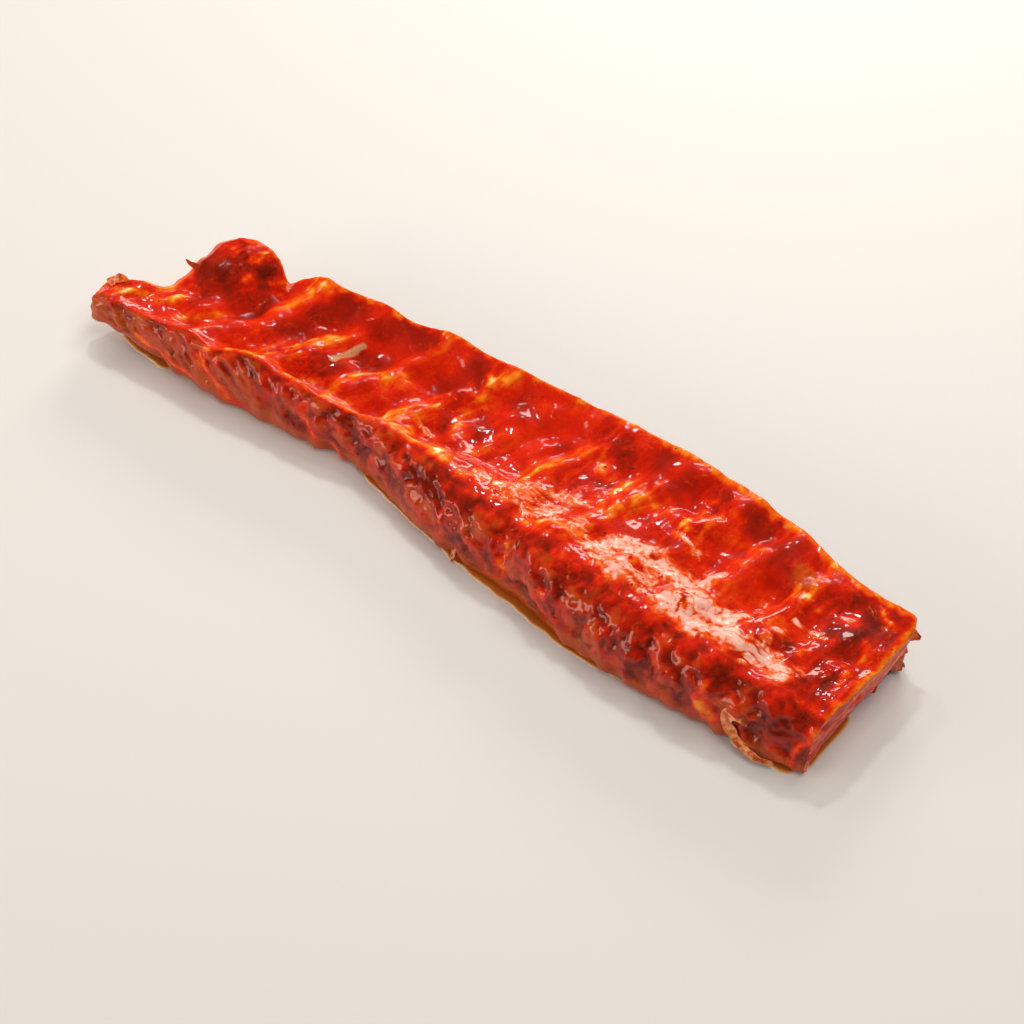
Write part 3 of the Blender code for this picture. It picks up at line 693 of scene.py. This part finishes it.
# What shows through: its mask, colour, unevenness, the mask's values from none to all, and the most of it
SHOWS_THROUGH = [
    ("brown", "#b04c18", 0.8, 0.1, 0.9, 0.8), ("skin", "#ee5814", 1.2, 0.05, 0.6, 0.9),
    # The palest skin colour is partly a painted sheen, the wet glaze's broad reflection over the skin.
    ("skin", "#ee7440", 2.2, 0.35, 0.95, 0.9), ("skin", "#f8bcaa", 3.0, 0.55, 1.2, 0.94),
    ("bone", "#c89a6c", 0.9, 0.3, 0.85, 0.8), ("gristle", "#b4501c", 1.6, 0.3, 1.0, 0.6)]
# Pattern sizes in mm. The finest grain is drawn coarser than real, so that it shows from the camera.
STREAK_MM = (0.9, 5.0, 0.9)
STREAK_TURN = math.radians(18)
STREAK_SHARE = 0.2
MOTTLE_MM = 4.0
SPECK_MM = 1.4
MOTTLE_SHARE = 0.26
MARBLING_MM = 5.0
GRAIN_MM = 0.8
GRAIN_STRENGTH = 0.35
GRAIN_DEPTH = 0.0004

glaze, shader = new_material("barbecue_glaze_on_pork")
place = node(glaze, "ShaderNodeTexCoord").outputs["Object"]
mottle = node(glaze, "ShaderNodeTexNoise", {"Vector": place, "Scale": 1000 / MOTTLE_MM, "Detail": 4.0})
speck = node(glaze, "ShaderNodeTexNoise", {"Vector": place, "Scale": 1000 / SPECK_MM, "Detail": 4.0})
fine_grain = node(glaze, "ShaderNodeTexNoise", {"Vector": place, "Scale": 1000 / GRAIN_MM, "Detail": 2.0})
mask = {name: node(glaze, "ShaderNodeAttribute", attribute_name=name).outputs["Fac"] for name in MASKS}
mottled = node(glaze, "ShaderNodeMath", {0: mottle.outputs["Fac"], 1: MOTTLE_SHARE, 2: -MOTTLE_SHARE},
               operation="MULTIPLY_ADD")
speckled = node(glaze, "ShaderNodeMath", {0: speck.outputs["Fac"], 1: MOTTLE_SHARE, 2: mottled.outputs[0]},
                operation="MULTIPLY_ADD")
turned = node(glaze, "ShaderNodeVectorRotate", {"Vector": place, "Angle": STREAK_TURN},
              rotation_type="Z_AXIS")
stretched = node(glaze, "ShaderNodeVectorMath",
                 {0: turned.outputs[0], 1: [1000 / size for size in STREAK_MM]}, operation="MULTIPLY")
streaks = node(glaze, "ShaderNodeTexNoise", {"Vector": stretched.outputs[0], "Scale": 1.0, "Detail": 2.0})
streaked = node(glaze, "ShaderNodeMath", {0: streaks.outputs["Fac"], 1: STREAK_SHARE, 2: -STREAK_SHARE / 2},
                operation="MULTIPLY_ADD")
detail = node(glaze, "ShaderNodeMath", {0: speckled.outputs[0], 1: streaked.outputs[0]})
busy = node(glaze, "ShaderNodeMath", {0: mask["rough"], 1: 1.2, 2: 0.2}, operation="MULTIPLY_ADD")
bareness = node(glaze, "ShaderNodeMath", {0: detail.outputs[0], 1: busy.outputs[0], 2: mask["bare"]},
                operation="MULTIPLY_ADD")
ramp = node(glaze, "ShaderNodeValToRGB", {"Fac": bareness.outputs[0]})
for place_on_ramp, colour in GLAZE_TO_BARE[1:-1]:
    ramp.color_ramp.elements.new(place_on_ramp)
for element, (place_on_ramp, colour) in zip(ramp.color_ramp.elements, GLAZE_TO_BARE):
    element.position = place_on_ramp
    element.color = hex_colour(colour)
colour_now = ramp.outputs["Color"]
marbling = node(glaze, "ShaderNodeTexNoise", {"Vector": place, "Scale": 1000 / MARBLING_MM, "Detail": 4.0,
                                              "Roughness": 0.6, "Distortion": 1.6})
for name, colour, spread, starts, fills, most in SHOWS_THROUGH:
    jagged = node(glaze, "ShaderNodeMath", {0: marbling.outputs["Fac"], 1: spread, 2: -spread / 2},
                  operation="MULTIPLY_ADD")
    ragged = node(glaze, "ShaderNodeMath", {0: mask[name], 1: jagged.outputs[0]})
    share = node(glaze, "ShaderNodeMapRange", {"Value": ragged.outputs[0], "From Min": starts,
                                               "From Max": fills, "To Max": most},
                 interpolation_type="SMOOTHSTEP")
    colour_now = node(glaze, "ShaderNodeMix", {0: share.outputs[0], 6: colour_now, 7: hex_colour(colour)},
                      data_type="RGBA").outputs[2]
bump_height = node(glaze, "ShaderNodeMath", {0: fine_grain.outputs["Fac"], 1: mask["rough"]},
                   operation="MULTIPLY")
bump = node(glaze, "ShaderNodeBump", {"Height": bump_height.outputs[0], "Strength": GRAIN_STRENGTH,
                                      "Distance": GRAIN_DEPTH})
for socket, value in {"Base Color": colour_now, "Normal": bump.outputs[0]}.items():
    glaze.node_tree.links.new(value, shader.inputs[socket])
for socket, value in {"Roughness": 0.45, "IOR": 1.4, "Specular IOR Level": 0.08, "Coat Weight": 0.6,
                      "Coat Roughness": 0.035, "Coat IOR": 1.45, "Subsurface Weight": 0.1,
                      "Subsurface Scale": 0.002}.items():
    shader.inputs[socket].default_value = value
shader.inputs["Subsurface Radius"].default_value = (1.0, 0.3, 0.12)

rack = rack_mesh()
rack.data.materials.append(glaze)
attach(rack, "root")
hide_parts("rack")


# Shreds of meat and skin. Thin torn strands that the knife and the grill left standing at both ends and
# at the foot, and one long lip of skin that has curled off the near face by the cut end. They are dried
# meat and fat, brown red to orange cream, and shiny with glaze.
SHREDS = [
    ("tip_scrap", "#f0802a", [(-172, -26, 19), (-170, -24, 21.5), (-167, -22.5, 22.5), (-164, -21.5, 20.5)],
     4.4, 2.4),
    ("spike", "#b0381a", [(-148.5, 3, 20), (-152.5, 1, 21.8), (-154.6, 0.3, 24)], 2.4, 1.3),
    ("corner_shred", "#e8702e", [(168, 28.8, 16.6), (172.5, 30, 16.2), (176, 31, 15.4)], 7.0, 3.4),
    ("foot_shred", "#d4642e", [(166, 21.5, 7.0), (171, 23.2, 5.2), (174.2, 24.8, 2.8)], 8.0, 3.2),
    ("foot_scrap", "#d87238", [(167, 12, 8.2), (170.6, 10, 6.2), (172.8, 8, 3.8)], 7.0, 3.0),
    ("drip", "#8a2c14", [(15, -35, 4), (16, -37.5, 1.8), (16.5, -38.4, 0.8)], 2.8, 1.6),
    ("curled_lip", "#ee9a58", [(149, -35.8, 14), (145.5, -37.2, 15.4), (141.8, -38.2, 13.4),
                               (142.2, -38.9, 10), (145.5, -39.4, 7), (149.5, -40.0, 4.6),
                               (154, -40.4, 3.4), (158, -39.8, 2.8), (162, -38.2, 2.4)], 4.8, 1.0)]
SHRED_RINGS = 40
SHRED_SIDES = 14
SHRED_FACING = (0.0, -0.8, 0.6)
SHRED_TIP = 0.02
SHRED_TAPER = 0.45
SHRED_SWELL_SIZE, SHRED_SWELL = 3.0, 0.4
SHRED_CRUMPLE_SIZE, SHRED_CRUMPLE = 2.6, 0.4
SHRED_CUP = 0.18
SHRED_PATCH_MM = 2.5
SHRED_BASE = "#b8481c"
SHRED_SEED = 80


def shred_mesh(name, path, width, thickness, seed):
    """A strand along the path, flat in section, wide at its root, thin at its tip and uneven all along."""
    path = np.array(path, float)
    share = np.linspace(0, len(path) - 1, SHRED_RINGS)
    middle = np.stack([along(list(enumerate(path[:, axis])), share) for axis in range(3)], axis=-1)
    forward = np.gradient(middle, axis=0)
    forward /= np.linalg.norm(forward, axis=1)[:, None]
    outward = np.cross(forward, SHRED_FACING)
    outward /= np.linalg.norm(outward, axis=1)[:, None]
    upward = np.cross(outward, forward)
    swell = np.linspace(1.0, SHRED_TIP, SHRED_RINGS) ** SHRED_TAPER
    swell = (swell * (1 + SHRED_SWELL * grain(middle, SHRED_SWELL_SIZE, seed)))[:, None, None]
    turn = (np.linspace(0, 2 * math.pi, SHRED_SIDES, endpoint=False))[None, :, None]
    points = (middle[:, None] + swell * (outward[:, None] * width * np.cos(turn) / 2
                                         + upward[:, None] * thickness * np.sin(turn) / 2))
    crumple = SHRED_CRUMPLE * grain(points, SHRED_CRUMPLE_SIZE, seed + 1)[..., None]
    points = points + upward[:, None] * (SHRED_CUP * width * np.cos(turn) ** 2 + crumple)
    last_ring = (SHRED_RINGS - 1) * SHRED_SIDES
    faces = [tuple(reversed(range(SHRED_SIDES))), tuple(range(last_ring, last_ring + SHRED_SIDES))]
    for ring in range(SHRED_RINGS - 1):
        for side in range(SHRED_SIDES):
            after = (side + 1) % SHRED_SIDES
            low, high = ring * SHRED_SIDES, (ring + 1) * SHRED_SIDES
            faces.append((low + side, low + after, high + after, high + side))
    return mesh_object(name, points.reshape(-1, 3), faces)


for number, (name, colour, path, width, thickness) in enumerate(SHREDS):
    strand, strand_shader = new_material("dried_" + name)
    place = node(strand, "ShaderNodeTexCoord").outputs["Object"]
    patch = node(strand, "ShaderNodeTexNoise", {"Vector": place, "Scale": 1000 / SHRED_PATCH_MM,
                                                "Detail": 4.0})
    patches = node(strand, "ShaderNodeMapRange", {"Value": patch.outputs["Fac"], "From Min": 0.4,
                                                  "From Max": 0.58})
    toned = node(strand, "ShaderNodeMix", {0: patches.outputs[0], 6: hex_colour(SHRED_BASE),
                                           7: hex_colour(colour)}, data_type="RGBA")
    strand.node_tree.links.new(toned.outputs[2], strand_shader.inputs["Base Color"])
    for socket, value in {"Roughness": 0.4, "Coat Weight": 0.7, "Coat Roughness": 0.08,
                          "Specular IOR Level": 0.2, "Subsurface Weight": 0.2,
                          "Subsurface Scale": 0.001}.items():
        strand_shader.inputs[socket].default_value = value
    shred = shred_mesh(name, path, width, thickness, SHRED_SEED + 2 * number)
    shred.data.materials.append(strand)
    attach(shred, "root")


# Ground pepper in the glaze. Dry black and brown chips of husk, 0.4 to 1.2 mm across, that stick to the
# wet surface, most of them on the bone side. They are one joined mesh.
PEPPER_COUNT = 340
PEPPER_SMALLEST = 0.4
PEPPER_LARGEST = 1.2
PEPPER_LOWEST, PEPPER_HIGHEST = 8.0, 28.0
PEPPER_FACING_UP = 0.25
PEPPER_SEED = 71
CHIP_SHAPE = np.array([[0.6], [0.4], [0.28]])
CHIP_LIFT = 0.05
CHIP_FACES = ((0, 1, 2), (1, 3, 2), (3, 4, 2), (4, 0, 2), (1, 0, 5), (3, 1, 5), (4, 3, 5), (0, 4, 5))
HUSK_MM = 6.0
HUSK_BLACK, HUSK_BROWN = "#140a06", "#5a2a14"
rng = np.random.default_rng(PEPPER_SEED)
seats = np.empty(len(rack.data.vertices) * 3)
rack.data.vertices.foreach_get("co", seats)
seats = seats.reshape(-1, 3) * 1000 + PLAN_MIDDLE
ways = np.empty(len(seats) * 3)
rack.data.vertices.foreach_get("normal", ways)
ways = ways.reshape(-1, 3)
open_seats = np.flatnonzero((ways[:, 2] > PEPPER_FACING_UP) & (seats[:, 2] > PEPPER_LOWEST)
                            & (seats[:, 2] < PEPPER_HIGHEST))
chips, chip_faces = [], []
for seat in rng.choice(open_seats, PEPPER_COUNT, replace=False):
    size = PEPPER_SMALLEST + (PEPPER_LARGEST - PEPPER_SMALLEST) * rng.uniform() ** 2.5
    way = ways[seat]
    side = np.cross(way, rng.normal(size=3))
    side /= np.linalg.norm(side)
    axes = np.array([side, np.cross(way, side), way]) * size * CHIP_SHAPE
    corners = np.concatenate([axes, -axes]) * rng.uniform(0.6, 1.1, (6, 1)) + seats[seat] + way * CHIP_LIFT
    first = 6 * len(chips)
    chips.append(corners)
    chip_faces += [(first + a, first + b, first + c) for a, b, c in CHIP_FACES]
pepper, pepper_shader = new_material("ground_pepper")
place = node(pepper, "ShaderNodeTexCoord").outputs["Object"]
kind = node(pepper, "ShaderNodeTexNoise", {"Vector": place, "Scale": 1000 / HUSK_MM, "Detail": 1.0})
husk = node(pepper, "ShaderNodeMix", {0: kind.outputs["Fac"], 6: hex_colour(HUSK_BLACK),
                                      7: hex_colour(HUSK_BROWN)}, data_type="RGBA")
pepper.node_tree.links.new(husk.outputs[2], pepper_shader.inputs["Base Color"])
pepper_shader.inputs["Roughness"].default_value = 0.5
specks = mesh_object("pepper_specks", np.concatenate(chips), chip_faces)
specks.data.shade_flat()
specks.data.materials.append(pepper)
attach(specks, "root")


# The juice that has run out of the rack: melted fat and thin glaze on the floor against the foot. It is
# orange brown where it is deep and pale at its thin rim, like a clear liquid on a pale floor. Under the
# raised left tip it is also painted shadow.
JUICE_LINES = [
    (2.8, (0, -31.5), (14, -34.4), (28, -36.2), (40, -37.2), (55, -39), (70, -40.6), (80, -41), (94, -39.8)),
    (2.2, (-36, -25.4), (-23, -28.2), (-15, -29.6), (-9, -31), (2, -32.2)),
    (3.0, (146, -36), (158, -36.2), (166, -34.4), (169.4, -29), (169.6, -18), (169, -6)),
    # The last line, under the raised left tip, is partly real juice and partly a painted shadow on the floor.
    (3.4, (-160, -30), (-150, -31), (-138, -31.5))]
JUICE_CELL = 0.6
JUICE_X = np.arange(-174.0, 184.0, JUICE_CELL)
JUICE_Y = np.arange(-46.6, 24.0, JUICE_CELL)
JUICE_DEPTH = 0.4
JUICE_LIFT = 0.03
JUICE_SHORE = 0.35
JUICE_FULL = 0.4
SHORE_SWAY, SHORE_SWAY_SIZE, SHORE_SEED = 0.16, 6.0, 91
JUICE_CLOUD_MM = 5.0
JUICE_TINTS = ((0.2, "#dccbb2"), (0.6, "#dca05a"), (1.0, "#b86424"))


def juice_mesh():
    """A thin closed layer on the floor, domed to its shore."""
    x, y = np.meshgrid(JUICE_X, JUICE_Y, indexing="ij")
    sway = SHORE_SWAY * grain(np.stack([x, y, 0 * x], axis=-1), SHORE_SWAY_SIZE, SHORE_SEED)
    depth = brushed(JUICE_LINES, x, y, 1.0) + sway - JUICE_SHORE
    slope_x, slope_y = np.gradient(depth, JUICE_CELL)
    steepness = np.maximum(slope_x ** 2 + slope_y ** 2, 0.02)
    wet = depth[:-1, :-1] + depth[1:, :-1] + depth[:-1, 1:] + depth[1:, 1:] > 0
    back = np.minimum(depth, 0) / steepness
    x = x - np.clip(back * slope_x, -JUICE_CELL, JUICE_CELL)
    y = y - np.clip(back * slope_y, -JUICE_CELL, JUICE_CELL)
    number = np.arange(x.size).reshape(x.shape)
    fill = np.clip(depth / JUICE_FULL, 0, 1)
    height = JUICE_LIFT + JUICE_DEPTH * fill ** 0.5
    points = np.concatenate([np.stack([x, y, height], axis=-1).reshape(-1, 3),
                             np.stack([x, y, 0 * x], axis=-1).reshape(-1, 3)])
    faces = []
    for i, j in np.argwhere(wet):
        around = [number[i, j], number[i + 1, j], number[i + 1, j + 1], number[i, j + 1]]
        faces.append(tuple(around))
        faces.append(tuple(k + x.size for k in reversed(around)))
        for (beside_i, beside_j), (a, b) in zip(((i, j - 1), (i + 1, j), (i, j + 1), (i - 1, j)),
                                                zip(around, around[1:] + around[:1])):
            if not wet[beside_i, beside_j]:
                faces.append((b, a, a + x.size, b + x.size))
    used = np.unique(np.concatenate([np.array(face) for face in faces]))
    renumber = np.zeros(len(points), int)
    renumber[used] = np.arange(len(used))
    return mesh_object("juice_film", points[used], [tuple(renumber[list(face)]) for face in faces],
                       {"deep": np.tile(fill.ravel(), 2)[used]})


# Rendered pork fat tinted by glaze. It is wet, so it is smooth and mirrors the lights. It is drawn opaque,
# and its colour by depth stands for its clearness.
juice, juice_shader = new_material("run_out_juice")
place = node(juice, "ShaderNodeTexCoord").outputs["Object"]
cloud = node(juice, "ShaderNodeTexNoise", {"Vector": place, "Scale": 1000 / JUICE_CLOUD_MM, "Detail": 3.0})
deep = node(juice, "ShaderNodeAttribute", attribute_name="deep").outputs["Fac"]
clouded = node(juice, "ShaderNodeMath", {0: cloud.outputs["Fac"], 1: 0.5, 2: deep}, operation="MULTIPLY_ADD")
tint = node(juice, "ShaderNodeValToRGB", {"Fac": clouded.outputs[0]})
tint.color_ramp.elements.new(JUICE_TINTS[1][0])
for element, (place_on_ramp, colour) in zip(tint.color_ramp.elements, JUICE_TINTS):
    element.position = place_on_ramp
    element.color = hex_colour(colour)
juice.node_tree.links.new(tint.outputs["Color"], juice_shader.inputs["Base Color"])
for socket, value in {"Roughness": 0.12, "Specular IOR Level": 0.4}.items():
    juice_shader.inputs[socket].default_value = value
film = juice_mesh()
film.data.materials.append(juice)
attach(film, "root")


# The stage: a plain pale floor and plain soft studio light. The wet glaze mirrors a softbox and two small
# lamps behind the rack, and a broad softbox in front gives the near face its soft sheen.
FLOOR_HALF_SIZE = 3.0
floor_mesh = bpy.data.meshes.new("floor")
floor_mesh.from_pydata([(-FLOOR_HALF_SIZE, -FLOOR_HALF_SIZE, 0), (FLOOR_HALF_SIZE, -FLOOR_HALF_SIZE, 0),
                        (FLOOR_HALF_SIZE, FLOOR_HALF_SIZE, 0), (-FLOOR_HALF_SIZE, FLOOR_HALF_SIZE, 0)],
                       [], [(0, 1, 2, 3)])
floor = bpy.data.objects.new("floor", floor_mesh)
bpy.context.scene.collection.objects.link(floor)
pale, floor_shader = new_material("pale_floor")
floor_shader.inputs["Base Color"].default_value = hex_colour("#d8d7d2")
floor_shader.inputs["Roughness"].default_value = 0.6
floor.data.materials.append(pale)

CAMERA_AZIMUTH = math.radians(39.0)
CAMERA_ELEVATION = math.radians(50.0)
CAMERA_DISTANCE = 0.9
CAMERA_TARGET = Vector((0.02495, -0.0125, 0.0135))


def direction(azimuth, elevation):
    """The unit direction from the rack towards something seen at that azimuth and elevation."""
    return Vector((math.sin(azimuth) * math.cos(elevation), -math.cos(azimuth) * math.cos(elevation),
                   math.sin(elevation)))


def aim(thing, distance, azimuth, elevation, target):
    """Places a light or a camera at a distance from the target, looking at it."""
    back = direction(azimuth, elevation)
    thing.location = target + back * distance
    thing.rotation_mode = "QUATERNION"
    thing.rotation_quaternion = back.to_track_quat("Z", "Y")


# Each light: distance in metres, azimuth and elevation in degrees, width, height, watts, colour, and
# whether the glaze mirrors it
LIGHTS = [
    ("key_light", 1.4, 175, 60, 0.5, 0.5, 5.4, "#fff6ea", False),
    ("sparkle_light", 1.4, 218, 53, 0.16, 0.1, 3.8, "#ffffff", True),
    ("window_light", 1.4, 238, 44, 0.06, 0.09, 1.0, "#ffffff", True),
    ("back_softbox", 1.18, 206, 21, 0.5, 0.26, 5.6, "#fff2e8", True),
    ("front_softbox", 1.2, -40, 16, 0.9, 0.34, 7.0, "#ffe6d6", True),
    ("top_softbox", 2.2, 100, 68, 1.2, 1.2, 13.0, "#ffffff", False)]
for name, distance, azimuth, elevation, width, height, power, colour, seen_in_gloss in LIGHTS:
    lamp = bpy.data.lights.new(name, "AREA")
    lamp.shape = "RECTANGLE"
    lamp.size = width
    lamp.size_y = height
    lamp.energy = power
    lamp.color = hex_colour(colour)[:3]
    light = bpy.data.objects.new(name, lamp)
    light.visible_glossy = seen_in_gloss
    bpy.context.scene.collection.objects.link(light)
    aim(light, distance, math.radians(azimuth), math.radians(elevation), CAMERA_TARGET)

world = bpy.data.worlds.new("studio")
world.use_nodes = True
sky = world.node_tree.nodes["Background"]
sky.inputs["Color"].default_value = hex_colour("#f4f1ee")
sky.inputs["Strength"].default_value = 0.39
world.cycles_visibility.glossy = False
bpy.context.scene.world = world
bpy.context.scene.view_settings.view_transform = "Standard"

camera_data = bpy.data.cameras.new("camera")
camera_data.lens = 85.0
camera_data.sensor_width = 36.0
camera = bpy.data.objects.new("camera", camera_data)
bpy.context.scene.collection.objects.link(camera)
aim(camera, CAMERA_DISTANCE, CAMERA_AZIMUTH, CAMERA_ELEVATION, CAMERA_TARGET)
bpy.context.scene.camera = camera
